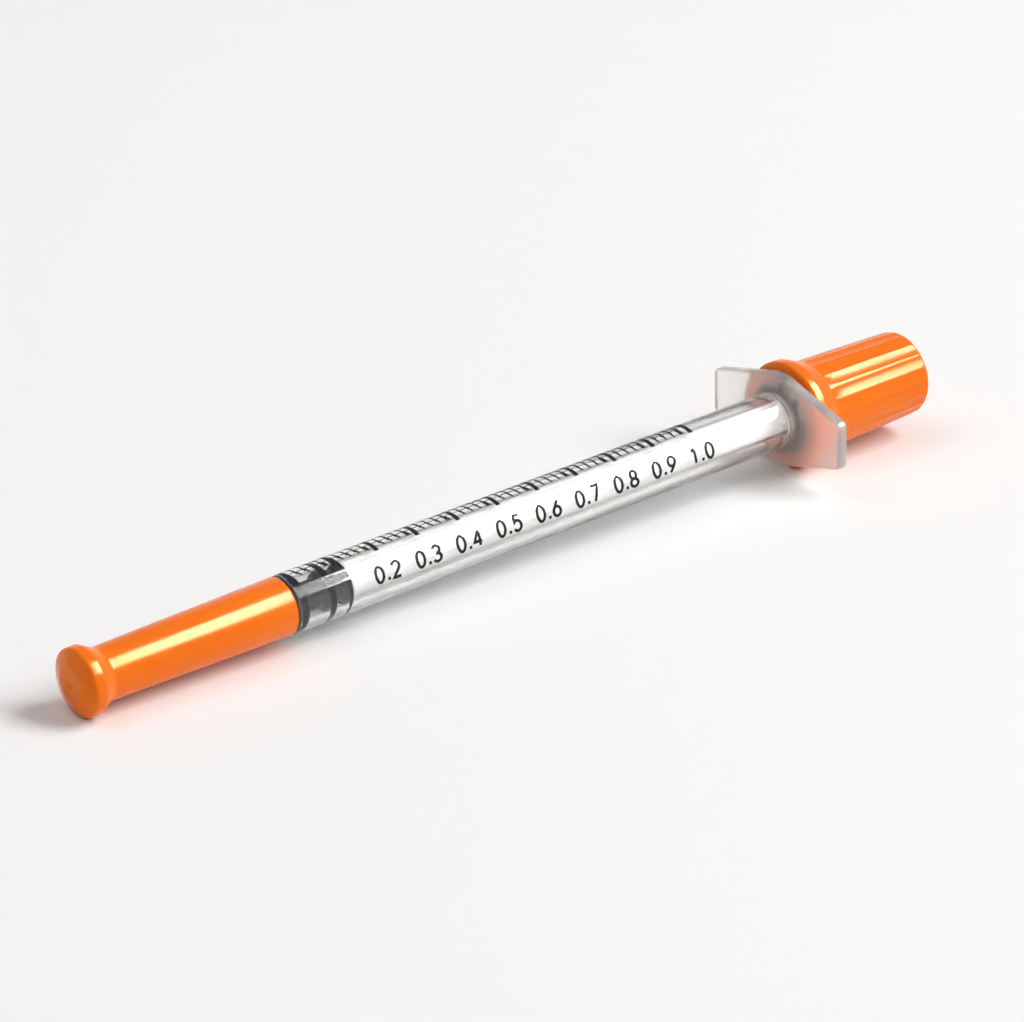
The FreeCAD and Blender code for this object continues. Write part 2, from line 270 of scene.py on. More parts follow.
class NodeSheet:
    """A material's node tree with short calls for the nodes that the finishes share."""

    def __init__(self, name: str) -> None:
        """Start an empty material with its output and one Principled shader.

        Args:
            name: the material's name.
        """
        self.material = bpy.data.materials.new(name)
        self.material.use_nodes = True
        self.tree = self.material.node_tree
        self.shader = self.tree.nodes["Principled BSDF"]
        self.place = self.add("ShaderNodeTexCoord").outputs["Object"]

    def add(self, kind: str, **settings: object) -> bpy.types.Node:
        """Add a node and set its properties.

        Args:
            kind: the node's type.
            settings: properties by name.

        Returns:
            The node.
        """
        node = self.tree.nodes.new(kind)
        for name, value in settings.items():
            setattr(node, name, value)
        return node

    def join(self, source: bpy.types.NodeSocket, target: bpy.types.NodeSocket) -> None:
        """Link two sockets."""
        self.tree.links.new(source, target)

    def set(self, **values: object) -> None:
        """Set the shader's own sockets by their names with underscores for spaces."""
        for name, value in values.items():
            self.shader.inputs[name.replace("_", " ")].default_value = value

    def grain(self, per_mm: float, stretch: float = 1.0, detail: float = 4.0) -> bpy.types.NodeSocket:
        """Noise of about per_mm cells in a millimetre, drawn out along the syringe.

        Args:
            per_mm: cells in a millimetre across the axis.
            stretch: how many times longer the cells are along the axis.
            detail: octaves of finer noise.

        Returns:
            The noise's factor, 0 to 1.
        """
        mapping = self.add("ShaderNodeMapping")
        mapping.inputs["Scale"].default_value = (1.0 / stretch, 1.0, 1.0)
        noise = self.add("ShaderNodeTexNoise")
        noise.inputs["Scale"].default_value = per_mm / MM
        noise.inputs["Detail"].default_value = detail
        self.join(self.place, mapping.inputs["Vector"])
        self.join(mapping.outputs["Vector"], noise.inputs["Vector"])
        return noise.outputs["Fac"]

    def station(self, placement: Placement) -> bpy.types.NodeSocket:
        """Distance in metres along the syringe, from the barrel's front shoulder.

        The point less the shoulder is multiplied by the syringe's direction.

        Args:
            placement: where the syringe lies.

        Returns:
            The distance.
        """
        offset = self.add("ShaderNodeVectorMath", operation="SUBTRACT")
        offset.inputs[1].default_value = tuple(placement.shoulder)
        reach = self.add("ShaderNodeVectorMath", operation="DOT_PRODUCT")
        reach.inputs[1].default_value = tuple(placement.along)
        self.join(self.place, offset.inputs[0])
        self.join(offset.outputs["Vector"], reach.inputs[0])
        return reach.outputs["Value"]

    def total(self, first: bpy.types.NodeSocket, second: bpy.types.NodeSocket) -> bpy.types.NodeSocket:
        """Sum of two values.

        Args:
            first: one value.
            second: the other.

        Returns:
            Their sum.
        """
        node = self.add("ShaderNodeMath", operation="ADD")
        self.join(first, node.inputs[0])
        self.join(second, node.inputs[1])
        return node.outputs["Value"]

    def spread(self, factor: bpy.types.NodeSocket, low: float, high: float,
               start: float = 0.3, stop: float = 0.7) -> bpy.types.NodeSocket:
        """Map a factor between start and stop evenly to a value between low and high.

        Args:
            factor: what is mapped.
            low: value at start and below.
            high: value at stop and above.
            start: where the rise begins.
            stop: where the rise ends.

        Returns:
            The mapped value.
        """
        node = self.add("ShaderNodeMapRange")
        for name, value in (("From Min", start), ("From Max", stop), ("To Min", low), ("To Max", high)):
            node.inputs[name].default_value = value
        self.join(factor, node.inputs["Value"])
        return node.outputs["Result"]

    def blend(self, factor: bpy.types.NodeSocket, first: Sequence[float],
              second: Sequence[float] | bpy.types.NodeSocket) -> bpy.types.NodeSocket:
        """Colour between two by a factor.

        Args:
            factor: 0 for the first colour, 1 for the second.
            first: plain colour.
            second: plain colour or another blend.

        Returns:
            The blended colour.
        """
        node = self.add("ShaderNodeMix", data_type="RGBA")
        node.inputs["A"].default_value = (*first, 1.0)
        if isinstance(second, bpy.types.NodeSocket):
            self.join(second, node.inputs["B"])
        else:
            node.inputs["B"].default_value = (*second, 1.0)
        self.join(factor, node.inputs["Factor"])
        return node.outputs["Result"]

    def bump(self, height: bpy.types.NodeSocket, depth_mm: float,
             below: bpy.types.NodeSocket | None = None) -> bpy.types.NodeSocket:
        """Surface relief, on top of another one if given.

        Args:
            height: the relief's height, 0 to 1.
            depth_mm: millimetres between heights 0 and 1.
            below: relief that this one is added to.

        Returns:
            The bent normal.
        """
        node = self.add("ShaderNodeBump")
        node.inputs["Strength"].default_value = 1.0
        node.inputs["Distance"].default_value = depth_mm * MM
        self.join(height, node.inputs["Height"])
        if below is not None:
            self.join(below, node.inputs["Normal"])
        return node.outputs["Normal"]


@dataclass(frozen=True)
class MouldedColour:
    """Glossy coloured polyethylene that lets a little light wander inside it."""

    name: str = "orange polyethylene"
    body: tuple[float, float, float] = (0.88, 0.160, 0.008)
    fresh: tuple[float, float, float] = (0.91, 0.190, 0.010)
    shine: tuple[float, float, float] = (1.0, 0.82, 0.36)
    wander_mm: tuple[float, float, float] = (1.2, 0.35, 0.08)
    depth: float = 0.35
    smooth: float = 0.15
    dull: float = 0.24
    flow_mm: float = 0.010
    peel_mm: float = 0.008
    mirror: float = 0.22

    def material(self) -> bpy.types.Material:
        """Colour drifts slowly, gloss and relief follow the flow of the melt along the piece.

        Returns:
            The material.
        """
        sheet = NodeSheet(self.name)
        drift = sheet.spread(sheet.grain(0.22, 2.5, 3.0), 0.0, 1.0)
        sheet.join(sheet.blend(drift, self.body, self.fresh), sheet.shader.inputs["Base Color"])
        flow = sheet.grain(1.3, 9.0, 5.0)
        peel = sheet.grain(3.2, 1.0, 2.0)
        sheet.join(sheet.spread(flow, self.smooth, self.dull), sheet.shader.inputs["Roughness"])
        relief = sheet.bump(peel, self.peel_mm, sheet.bump(flow, self.flow_mm))
        sheet.join(relief, sheet.shader.inputs["Normal"])
        sheet.set(IOR=1.51, Specular_IOR_Level=self.mirror, Specular_Tint=(*self.shine, 1.0),
                  Subsurface_Weight=self.depth, Subsurface_Scale=1.0,
                  Subsurface_Radius=tuple(value * MM for value in self.wander_mm))
        return sheet.material


@dataclass(frozen=True)
class ClearMoulding:
    """Clear polypropylene: polished on the tube, frosted and a little milky on the finger flange.

    A thin rough coat carries the broad highlight of the moulded surface.
    """

    placement: Placement
    name: str = "clear polypropylene"
    tint: tuple[float, float, float] = (0.994, 0.986, 0.974)
    clear: tuple[float, float, float] = (0.999, 0.996, 0.988)
    # Frosted flange colour: partly the warm tone of natural polypropylene, partly a painted warm glow standing in
    # for the orange cap's light passing through the flange
    cream: tuple[float, float, float] = (1.0, 0.945, 0.885)
    frost: float = 0.36
    milk: float = 0.12
    wander_mm: tuple[float, float, float] = (4.0, 3.6, 3.2)
    smooth: float = 0.02
    dull: float = 0.05
    flow_mm: float = 0.003
    mirror: float = 0.08
    coat: float = 0.45
    coat_dull: float = 0.16
    frost_start: float = 71.6
    frost_stop: float = 73.2

    def material(self) -> bpy.types.Material:
        """Light passes almost whole; flow lines along the tube stir gloss, tone and relief.

        Returns:
            The material.
        """
        sheet = NodeSheet(self.name)
        flow = sheet.grain(1.1, 14.0, 3.0)
        station = sheet.station(self.placement)
        start, stop = self.frost_start * MM, self.frost_stop * MM
        frosted = sheet.spread(station, 0.0, self.frost, start, stop)
        polish = sheet.spread(flow, self.smooth, self.dull)
        sheet.join(sheet.total(polish, frosted), sheet.shader.inputs["Roughness"])
        through = sheet.spread(station, 1.0, 1.0 - self.milk, start, stop)
        sheet.join(through, sheet.shader.inputs["Transmission Weight"])
        # The flange blends towards the cream tint, which is partly its own tone and partly a painted glow of the
        # orange cap's light through it
        tone = sheet.blend(sheet.spread(station, 0.0, 1.0, start, stop), self.clear, self.cream)
        sheet.join(sheet.blend(flow, self.tint, tone), sheet.shader.inputs["Base Color"])
        sheet.join(sheet.bump(flow, self.flow_mm), sheet.shader.inputs["Normal"])
        sheet.set(IOR=1.49, Specular_IOR_Level=self.mirror, Coat_Weight=self.coat,
                  Coat_Roughness=self.coat_dull, Coat_IOR=1.5, Subsurface_Weight=1.0, Subsurface_Scale=1.0,
                  Subsurface_Radius=tuple(value * MM for value in self.wander_mm))
        return sheet.material


@dataclass(frozen=True)
class MilkyMoulding:
    """Natural polypropylene of the plunger rod: white by its own scatter, satin on its ribs."""

    name: str = "milky polypropylene"
    body: tuple[float, float, float] = (0.94, 0.94, 0.925)
    shade: tuple[float, float, float] = (0.90, 0.905, 0.895)
    wander_mm: tuple[float, float, float] = (1.2, 1.1, 1.0)

    def material(self) -> bpy.types.Material:
        """Pale body colour with slow drift, light flow lines and fine satin relief.

        Returns:
            The material.
        """
        sheet = NodeSheet(self.name)
        drift = sheet.spread(sheet.grain(0.3, 6.0, 3.0), 0.0, 1.0)
        sheet.join(sheet.blend(drift, self.shade, self.body), sheet.shader.inputs["Base Color"])
        fine = sheet.grain(4.0, 3.0, 3.0)
        sheet.join(sheet.spread(fine, 0.30, 0.44), sheet.shader.inputs["Roughness"])
        sheet.join(sheet.bump(fine, 0.008), sheet.shader.inputs["Normal"])
        sheet.set(IOR=1.49, Specular_IOR_Level=0.3, Transmission_Weight=0.1, Subsurface_Weight=0.5,
                  Subsurface_Radius=tuple(value * MM for value in self.wander_mm), Subsurface_Scale=1.0)
        return sheet.material


@dataclass(frozen=True)
class SiliconedRubber:
    """Black rubber under a thin film of silicone oil."""

    name: str = "black rubber"
    body: tuple[float, float, float] = (0.003, 0.003, 0.0032)
    bloom: tuple[float, float, float] = (0.008, 0.008, 0.0084)

    def material(self) -> bpy.types.Material:
        """Nearly black, with bloom in patches and an oily, uneven gloss.

        Returns:
            The material.
        """
        sheet = NodeSheet(self.name)
        patch = sheet.spread(sheet.grain(0.8, 1.0, 4.0), 0.0, 1.0)
        sheet.join(sheet.blend(patch, self.body, self.bloom), sheet.shader.inputs["Base Color"])
        sheet.join(sheet.spread(patch, 0.22, 0.36, 0.0, 1.0), sheet.shader.inputs["Roughness"])
        sheet.join(sheet.bump(sheet.grain(7.0, 1.0, 3.0), 0.006), sheet.shader.inputs["Normal"])
        sheet.set(IOR=1.5, Specular_IOR_Level=0.08)
        return sheet.material


@dataclass(frozen=True)
class DrawnSteel:
    """Stainless tube with drawing lines along it."""

    name: str = "needle steel"
    bright: tuple[float, float, float] = (0.66, 0.66, 0.67)
    dull: tuple[float, float, float] = (0.52, 0.52, 0.53)

    def material(self) -> bpy.types.Material:
        """Metal whose tone, gloss and relief follow fine lengthwise lines.

        Returns:
            The material.
        """
        sheet = NodeSheet(self.name)
        lines = sheet.grain(22.0, 60.0, 4.0)
        sheet.join(sheet.blend(lines, self.dull, self.bright), sheet.shader.inputs["Base Color"])
        sheet.join(sheet.spread(lines, 0.14, 0.30), sheet.shader.inputs["Roughness"])
        sheet.join(sheet.bump(lines, 0.0015), sheet.shader.inputs["Normal"])
        sheet.set(Metallic=1.0)
        return sheet.material


@dataclass(frozen=True)
class CuredAdhesive:
    """Clear resin, a little yellow, with small bubbles."""

    name: str = "cured adhesive"
    bubbly: tuple[float, float, float] = (0.95, 0.94, 0.9)
    body: tuple[float, float, float] = (0.86, 0.82, 0.66)

    def material(self) -> bpy.types.Material:
        """Glassy resin whose bubbles show as dimples and pale spots.

        Returns:
            The material.
        """
        sheet = NodeSheet(self.name)
        cells = sheet.add("ShaderNodeTexVoronoi")
        cells.inputs["Scale"].default_value = 9.0 / MM
        sheet.join(sheet.place, cells.inputs["Vector"])
        bubble = sheet.spread(cells.outputs["Distance"], 1.0, 0.0, 0.1, 0.35)
        sheet.join(sheet.blend(bubble, self.body, self.bubbly), sheet.shader.inputs["Base Color"])
        sheet.join(sheet.spread(bubble, 0.06, 0.2, 0.0, 1.0), sheet.shader.inputs["Roughness"])
        sheet.join(sheet.bump(bubble, 0.02), sheet.shader.inputs["Normal"])
        sheet.set(IOR=1.5, Transmission_Weight=0.7)
        return sheet.material


@dataclass(frozen=True)
class ScaleInk:
    """Black printing ink, slightly uneven where it lies thin."""

    name: str = "scale ink"
    full: tuple[float, float, float] = (0.010, 0.010, 0.012)
    worn: tuple[float, float, float] = (0.045, 0.045, 0.05)

    def material(self) -> bpy.types.Material:
        """Matt black with thin patches and the drag of the printing.

        Returns:
            The material.
        """
        sheet = NodeSheet(self.name)
        thin = sheet.spread(sheet.grain(6.0, 1.0, 4.0), 0.0, 1.0, 0.42, 0.75)
        sheet.join(sheet.blend(thin, self.full, self.worn), sheet.shader.inputs["Base Color"])
        sheet.join(sheet.spread(thin, 0.42, 0.6, 0.0, 1.0), sheet.shader.inputs["Roughness"])
        sheet.join(sheet.bump(sheet.grain(12.0), 0.002), sheet.shader.inputs["Normal"])
        sheet.set(IOR=1.45, Specular_IOR_Level=0.10)
        return sheet.material


@dataclass(frozen=True)
class StudioFloor:
    """Plain pale sweep of painted board."""

    name: str = "pale floor"
    colour: tuple[float, float, float] = (0.90, 0.90, 0.895)

    def material(self) -> bpy.types.Material:
        """Matt board with a barely visible drift of tone.

        Returns:
            The material.
        """
        sheet = NodeSheet(self.name)
        drift = sheet.spread(sheet.grain(0.004, 1.0, 3.0), 0.0, 1.0)
        darker = tuple(value * 0.992 for value in self.colour)
        sheet.join(sheet.blend(drift, darker, self.colour), sheet.shader.inputs["Base Color"])
        sheet.set(Roughness=0.75, Specular_IOR_Level=0.0)
        return sheet.material


class Slot(Enum):
    """The record's material slots."""

    CLEAR = "clear_plastic"
    STEEL = "needle_steel"
    ADHESIVE = "adhesive"
    RUBBER = "black_rubber"
    MILKY = "milky_plastic"
    ORANGE = "orange_plastic"
    INK = "scale_ink"


class Body(Enum):
    """The bodies that pieces ride on."""

    BARREL = "barrel"
    NEEDLE_CAP = "needle_cap"
    PLUNGER = "plunger"
    PLUNGER_CAP = "plunger_cap"


@dataclass
class Palette:
    """One material for each slot, made once."""

    placement: Placement
    made: dict[Slot, bpy.types.Material] = field(default_factory=dict)

    def __post_init__(self) -> None:
        """Make every finish."""
        finishes = {
            Slot.CLEAR: ClearMoulding(self.placement),
            Slot.STEEL: DrawnSteel(),
            Slot.ADHESIVE: CuredAdhesive(),
            Slot.RUBBER: SiliconedRubber(),
            Slot.MILKY: MilkyMoulding(),
            Slot.ORANGE: MouldedColour(),
            Slot.INK: ScaleInk(),
        }
        for slot, finish in finishes.items():
            self.made[slot] = finish.material()

    def dress(self, thing: bpy.types.Object, slot: Slot) -> None:
        """Give an object the slot's material in place of what it carries.

        Args:
            thing: the object.
            slot: the record's slot, whose finish it gets.
        """
        thing.data.materials.clear()
        thing.data.materials.append(self.made[slot])


# Sub-assemblies


@dataclass
class Assembly:
    """What every sub-assembly shares: its place, the finishes and how a piece joins the object."""

    placement: Placement
    palette: Palette

    def settle(self, thing: bpy.types.Object, body: Body, slot: Slot, *nodes: str) -> bpy.types.Object:
        """Dress a new piece, let it ride on its body and stand for the CAD nodes it replaces.

        Args:
            thing: the piece.
            body: what it rides on.
            slot: where its finish comes from.
            nodes: the CAD nodes that it stands for.

        Returns:
            The piece.
        """
        self.palette.dress(thing, slot)
        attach(thing, body.value)
        if nodes:
            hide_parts(*nodes)
        LOG.info("%s: %d faces on %s", thing.name, len(thing.data.polygons), body.value)
        return thing

    def keep(self, node: str, slot: Slot) -> None:
        """Leave a CAD node's shape as it is and give it its finish.

        Args:
            node: the CAD node.
            slot: where its finish comes from.
        """
        self.palette.dress(frame["nodes"][node], slot)
        LOG.info("%s: CAD shape kept", node)


@dataclass
class Barrel(Assembly):
    """Clear tube with the nose in front, the finger flange and the ribbed collar behind."""

    bore: float = 2.3427
    radius: float = 3.4427
    length: float = 73.2
    front_wall: float = 0.8
    shoulder_round: float = 0.3
    flange_thickness: float = 1.5
    flange_length: float = 22.0
    flange_end_width: float = 5.8
    flange_waist: float = 5.8
    corner_round: float = 0.9
    edge_round: float = 0.4
    root_round: float = 0.9
    collar_length: float = 4.5
    collar: float = 3.5427
    collar_rib: float = 4.54
    collar_rib_width: float = 0.8
    bead_height: float = 0.12
    bead_width: float = 0.8
    spigot_length: float = 5.0
    spigot: float = 2.3927
    spigot_rib: float = 2.7427
    spigot_rib_width: float = 0.7
    nose_length: float = 4.0
    nose_root: float = 1.7
    nose_tip: float = 0.945
    well: float = 0.545
    well_depth: float = 1.6
    seat: float = 0.175
    tip_round: float = 0.15
    nose_root_round: float = 0.2
    end_bevel: float = 0.15
    spigot_ribs: int = 6
    spigot_bevel_length: float = 0.2
    spigot_rib_start: float = 0.5
    shoulder_gap: float = 0.01
    collar_ribs: int = 8
    collar_rib_stop: float = 1.1
    mouth_inset: float = 0.3
    mouth_ease: float = 0.5
    mouth_round: float = 0.15
    ease_round: float = 0.3
    bead_foot_round: float = 0.1
    bead_round: float = 0.12
    bore_end_round: float = 0.25
    columns: int = 400
    crowding: float = 5.0
    crowding_width: float = 0.06
    angle_samples: int = 7201
    trace_step: float = 0.04
    waist_points: int = 60
    points_between: int = 24
    rim_rings: int = 7

    def angles(self) -> np.ndarray:
        """Column angles, closest where the flange's corners are.

        The angles are read back from the running sum of a density that is 1 everywhere plus a
        bell at each corner, whose height is crowding and whose width is in radians.

        Returns:
            Angles (m,) in radians.
        """
        fine = np.linspace(0.0, FULL_TURN, self.angle_samples)
        corner = math.atan2(self.flange_end_width / 2, self.flange_length / 2)
        density = np.ones_like(fine)
        for place in (corner, math.pi - corner, math.pi + corner, FULL_TURN - corner):
            density += self.crowding * np.exp(-((fine - place) / self.crowding_width) ** 2)
        total = np.concatenate([[0.0], np.cumsum((density[1:] + density[:-1]) / 2)])
        share = np.arange(self.columns) / self.columns * total[-1]
        return np.interp(share, total, fine)

    def ribbed(self, angles: np.ndarray, base: float, crest: float, width: float, count: int) -> np.ndarray:
        """Radius of a ring with ribs: the crest within half a width of a rib's middle, else the base.

        Args:
            angles: column angles.
            base: radius between ribs.
            crest: radius on a rib.
            width: a rib's width.
            count: how many ribs.

        Returns:
            Radius for each column.
        """
        pitch = FULL_TURN / count
        off = np.abs((angles + pitch / 2) % pitch - pitch / 2)
        return np.where(crest * np.sin(off) <= width / 2, crest, base)

    def flange_edge(self, angles: np.ndarray) -> tuple[np.ndarray, np.ndarray]:
        """Outline of the flange and its outward direction at each column.

        The outline is a circle, two pairs of tangents and four rounded corners, traced finely
        and read off at each column's angle.

        Args:
            angles: column angles.

        Returns:
            Points (m, 2) in y and z, and outward unit vectors (m, 2).
        """
        half_length, half_end = self.flange_length / 2, self.flange_end_width / 2
        reach = math.hypot(half_length, half_end)
        slope = math.atan2(half_end, half_length) + math.acos(self.flange_waist / reach)
        touch = np.array([math.cos(slope), math.sin(slope)]) * self.flange_waist
        right = eased_path([(touch[0], -touch[1], 0.0), (half_length, -half_end, self.corner_round),
                            (half_length, half_end, self.corner_round), (touch[0], touch[1], 0.0)],
                           step=self.trace_step)
        arc = np.linspace(slope, math.pi - slope, self.waist_points)[1:-1]
        upper = np.stack([np.cos(arc), np.sin(arc)], axis=1) * self.flange_waist
        trace = np.concatenate([right, upper, -right, -upper])
        trace = np.concatenate([trace, trace[:1]])
        dense = np.linspace(0.0, 1.0, self.points_between, endpoint=False)
        filled = trace[:-1, None, :] + (trace[1:] - trace[:-1])[:, None, :] * dense[None, :, None]
        filled = filled.reshape(-1, 2)
        tangent = np.roll(filled, -1, axis=0) - np.roll(filled, 1, axis=0)
        outward = np.stack([tangent[:, 1], -tangent[:, 0]], axis=1)
        outward /= np.linalg.norm(outward, axis=1, keepdims=True)
        turn = np.arctan2(filled[:, 1], filled[:, 0]) % FULL_TURN
        order = np.argsort(turn)
        table = np.concatenate([filled, outward], axis=1)[order]
        read = [np.interp(angles, turn[order], table[:, k], period=FULL_TURN) for k in range(4)]
        normal = np.stack(read[2:], axis=1)
        return np.stack(read[:2], axis=1), normal / np.linalg.norm(normal, axis=1, keepdims=True)

    def flange_rings(self, angles: np.ndarray) -> np.ndarray:
        """Rings over the flange's front face, rounded rim and back face.

        A rim of radius e sweeps a quarter turn: at angle t the ring lies e (1 - sin t) inside the
        outline and e (1 - cos t) behind the face.

        Args:
            angles: column angles.

        Returns:
            Rings (n, m, 3).
        """
        outline, outward = self.flange_edge(angles)
        quarter = np.linspace(0.0, math.pi / 2, self.rim_rings)
        inset = self.edge_round * (1.0 - np.sin(quarter))
        sink = self.edge_round * (1.0 - np.cos(quarter))
        insets = np.concatenate([inset, inset[::-1]])
        stations = self.length + np.concatenate([sink, (self.flange_thickness - sink)[::-1]])
        flat = outline[None] - insets[:, None, None] * outward[None]
        across = np.broadcast_to(stations[:, None, None], (len(stations), len(angles), 1))
        return np.concatenate([across, flat], axis=2)

    def front_rings(self, angles: np.ndarray) -> list[np.ndarray]:
        """Rings of the nose, the ribbed spigot, the shoulder and the tube up to the flange.

        Args:
            angles: column angles.

        Returns:
            Three blocks of rings (n, m, 3), from the tip backwards.
        """
        root = -self.spigot_length
        tip = root - self.nose_length
        nose = eased_path([(tip, self.well, 0.0), (tip, self.nose_tip, self.tip_round),
                           (root, self.nose_root, self.nose_root_round), (root, self.spigot, 0.0)])
        ribs = self.ribbed(angles, self.spigot, self.spigot_rib, self.spigot_rib_width, self.spigot_ribs)
        plain = np.full(len(angles), self.spigot)
        spigot_stations = np.array([root, root + self.spigot_bevel_length,
                                    root + self.spigot_rib_start, -self.shoulder_gap])
        spigot_radii = np.stack([plain - self.end_bevel, plain, ribs, ribs])
        tube = eased_path([(0.0, self.spigot, 0.0), (0.0, self.radius, self.shoulder_round),
                           (self.length, self.radius, self.root_round),
                           (self.length, self.flange_waist, 0.0)], step=0.1)[:-1]
        return [wheel(angles, nose[:-1, 0], nose[:-1, 1]),
                wheel(angles, spigot_stations, spigot_radii),
                wheel(angles, tube[:, 0], tube[:, 1])]

    def back_rings(self, angles: np.ndarray) -> list[np.ndarray]:
        """Rings of the ribbed collar, its mouth, the bore with its bead and the needle's seat.

        Args:
            angles: column angles.

        Returns:
            Two blocks of rings (n, m, 3), the collar's and then the inside's from the back forwards.
        """
        back = self.length + self.flange_thickness
        end = back + self.collar_length
        ribs = self.ribbed(angles, self.collar, self.collar_rib, self.collar_rib_width, self.collar_ribs)
        plain = np.full(len(angles), self.collar)
        stations = np.array([back, end - self.collar_rib_stop, end - self.end_bevel, end])
        radii = np.stack([ribs, ribs, plain, plain - self.end_bevel])
        bead = self.bore - self.bead_height
        inside = eased_path([
            (end, self.collar - self.mouth_inset, 0.0),
            (end, self.bore + self.mouth_ease, self.mouth_round),
            (end - self.mouth_ease, self.bore, self.ease_round),
            (self.length + self.bead_width, self.bore, self.bead_foot_round),
            (self.length + self.bead_width * 2 / 3, bead, self.bead_round),
            (self.length + self.bead_width / 3, bead, self.bead_round),
            (self.length, self.bore, self.bead_foot_round),
            (self.front_wall, self.bore, self.bore_end_round),
            (self.front_wall, self.seat, 0.0),
            (-self.spigot_length - self.nose_length + self.well_depth, self.seat, 0.0),
            (-self.spigot_length - self.nose_length, self.well, 0.0)])[1:-1]
        return [wheel(angles, stations, radii), wheel(angles, inside[:, 0], inside[:, 1])]

    def build(self) -> None:
        """Make the clear moulding as one closed surface."""
        angles = self.angles()
        rings = np.concatenate([*self.front_rings(angles), self.flange_rings(angles),
                                *self.back_rings(angles)])
        skin = Skin(self.placement, rings, Ends.JOINED)
        self.settle(skin.build("barrel_clear"), Body.BARREL, Slot.CLEAR, "barrel")
        self.keep("needle", Slot.STEEL)
        self.keep("needle_adhesive", Slot.ADHESIVE)


@dataclass
class Plunger(Assembly):
    """Milky rod, kept as it is, with the rubber stopper on its head."""

    bore: float = 2.3427
    contact: float = 0.004
    front: float = 0.85
    length: float = 7.2
    rib_width: float = 1.1
    waist: float = 1.7127
    rear_rib: float = 0.8
    rear_waist: float = 1.5
    rib_round: float = 0.22
    waist_round: float = 0.35
    rib_slope: float = 0.12
    neck: float = 0.8327
    crown: float = 1.2827
    neck_length: float = 0.8
    head_length: float = 2.4
    face_ring: float = 0.3
    socket_ring: float = 0.2
    columns: int = 160

    def profile(self) -> np.ndarray:
        """Half section of the stopper: front face, three ribs, back face and the head's socket.

        Returns:
            Points (n, 2) as station and radius.
        """
        back = self.front + self.length
        rib = self.bore + self.contact
        rear = back - self.rear_rib
        middle_back = rear - self.rear_waist
        middle = middle_back - self.rib_width
        first_back = self.front + self.rib_width
        neck_front = back - self.neck_length
        edge, hollow, slope = self.rib_round, self.waist_round, self.rib_slope
        return eased_path([
            (self.front, self.face_ring, 0.0), (self.front, rib, edge), (first_back, rib, edge),
            (first_back + slope, self.waist, hollow), (middle - slope, self.waist, hollow),
            (middle, rib, edge), (middle_back, rib, edge),
            (middle_back + slope, self.waist, hollow), (rear - slope, self.waist, hollow),
            (rear, rib, edge), (back, rib, edge), (back, self.neck, 0.0),
            (neck_front, self.neck, 0.0), (neck_front, self.crown, 0.0),
            (neck_front - self.head_length / 3, self.crown, 0.0),
            (neck_front - self.head_length, self.crown / 2, 0.0),
            (neck_front - self.head_length, self.socket_ring, 0.0)], step=0.06)

    def build(self) -> None:
        """Make the stopper and dress the rod."""
        angles = np.arange(self.columns) * FULL_TURN / self.columns
        half = self.profile()
        skin = Skin(self.placement, wheel(angles, half[:, 0], half[:, 1]), Ends.CLOSED)
        self.settle(skin.build("stopper_rubber"), Body.PLUNGER, Slot.RUBBER, "stopper")
        self.keep("plunger_rod", Slot.MILKY)


@dataclass
class NeedleCap(Assembly):
    """Orange sleeve over the needle with a domed knob to pull it by."""

    face: float = -28.2
    face_edge: float = 2.0
    gate_sink: float = 0.10
    gate_floor: float = 0.28
    gate_lip: float = 0.36
    gate_lip_sink: float = 0.02
    mouth: float = -0.1
    knob: float = 4.0
    knob_width: float = 1.3
    dome: float = 0.8
    flare: float = 1.6
    neck: float = 3.1
    neck_round: float = 2.0
    mouth_radius: float = 3.4427
    mouth_round: float = 0.18
    rim_round: float = 0.4
    grip: float = 2.7927
    grip_round: float = 0.15
    grip_end: float = -5.2
    grip_step: float = 0.2
    cavity: float = 2.2
    cavity_end: float = -24.2
    columns: int = 240

    def profile(self) -> np.ndarray:
        """Half section: gate mark, dome, knob, flare, taper, mouth, grip and cavity.

        Returns:
            Points (n, 2) as station and radius.
        """
        knob_back = self.face + self.dome + self.knob_width
        return eased_path([
            (self.face + self.gate_sink, 0.05, 0.0), (self.face + self.gate_sink, self.gate_floor, 0.04),
            (self.face + self.gate_lip_sink, self.gate_lip, 0.05), (self.face, self.face_edge, 2.0),
            (self.face + self.dome, self.knob, self.rim_round), (knob_back, self.knob, self.rim_round),
            (knob_back + self.flare, self.neck, self.neck_round),
            (self.mouth, self.mouth_radius, self.mouth_round), (self.mouth, self.grip, self.grip_round),
            (self.grip_end, self.grip, 0.0),
            (self.grip_end - self.grip_step, self.grip - self.grip_step, 0.0),
            (self.cavity_end, self.cavity, 1.0), (self.cavity_end, 0.2, 0.0)], step=0.1)

    def build(self) -> None:
        """Make the cap as one closed surface."""
        angles = np.arange(self.columns) * FULL_TURN / self.columns
        half = self.profile()
        skin = Skin(self.placement, wheel(angles, half[:, 0], half[:, 1]), Ends.CLOSED)
        self.settle(skin.build("needle_cap_shell"), Body.NEEDLE_CAP, Slot.ORANGE, "needle_cap")


